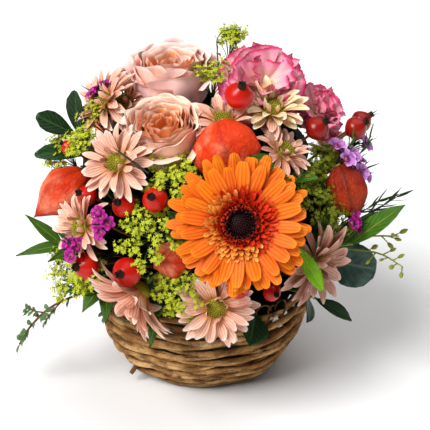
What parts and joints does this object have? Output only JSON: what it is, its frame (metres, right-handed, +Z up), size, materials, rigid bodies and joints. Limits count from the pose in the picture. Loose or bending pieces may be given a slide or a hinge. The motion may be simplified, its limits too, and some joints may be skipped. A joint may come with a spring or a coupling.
{
  "type": "flower basket arrangement",
  "caption": "Round vine basket with a liner and floral foam, filled with a dome of cut flowers, berries and leaves; it stands on a flat woven base.",
  "frame": {"origin": "middle of the flat underside of the basket's base mat", "axes": "+Z up out of the basket, -Y towards the front with the large orange gerbera, +X to its right"},
  "size_m": [0.2563, 0.2562, 0.2436],
  "materials": {
    "cream": "velvety",
    "eye": "velvety",
    "foam": "open-pored, wet",
    "fringe": "velvety",
    "gum": "matte",
    "hip": "glossy",
    "lantern": "papery",
    "leaf": "waxy",
    "lilac": "waxy",
    "lime": "waxy",
    "liner": "satin",
    "magenta": "waxy",
    "mantle": "matte",
    "mat": "rough",
    "mum": "velvety",
    "orange": "velvety",
    "peach": "velvety",
    "pink": "velvety",
    "rose": "velvety",
    "stem": "satin",
    "twig": "dull",
    "vine": "rough",
    "wire": "dull"
  },
  "bodies": {
    "root": {"base_mat": "mat", "carnation_right": "pink", "carnation_top": "pink", "eucalyptus": "gum", "floral_foam": "foam", "gerbera_eye": "eye", "gerbera_fringe": "fringe", "gerbera_rays": "orange", "gerbera_stem": "stem", "hips_far_left": "hip", "hips_front": "hip", "hips_left": "hip", "hips_right": "hip", "hips_top": "hip", "lantern_back": "lantern", "lantern_front": "lantern", "lantern_left": "lantern", "lantern_right": "lantern", "lantern_top": "lantern", "leaves_back": "leaf", "leaves_centre": "leaf", "leaves_front": "leaf", "leaves_left": "leaf", "leaves_low_left": "leaf", "leaves_right": "lime", "liner": "liner", "mantle_back": "mantle", "mantle_far_left": "mantle", "mantle_left": "mantle", "mantle_low": "mantle", "mantle_right": "mantle", "mantle_top": "mantle", "mum_cream": "cream", "mum_left": "mum", "mum_left_top": "mum", "mum_left_upper": "mum", "mum_low_front": "mum", "mum_low_left": "mum", "mum_right": "mum", "mum_small": "mum", "mum_spray_back": "mum", "mum_top": "mum", "rose_back_petals": "rose", "rose_low_petals": "peach", "rose_low_stem": "stem", "rose_top_petals": "rose", "rose_top_stem": "stem", "twig": "twig", "vine_ring_1": "vine", "vine_ring_2": "vine", "vine_ring_3": "vine", "vine_ring_4": "vine", "vine_ring_5": "vine", "vine_ring_6": "vine", "vine_ring_7": "vine", "wax_left": "magenta", "wax_right": "lilac", "wire_frame": "wire"}
  },
  "joints": []
}
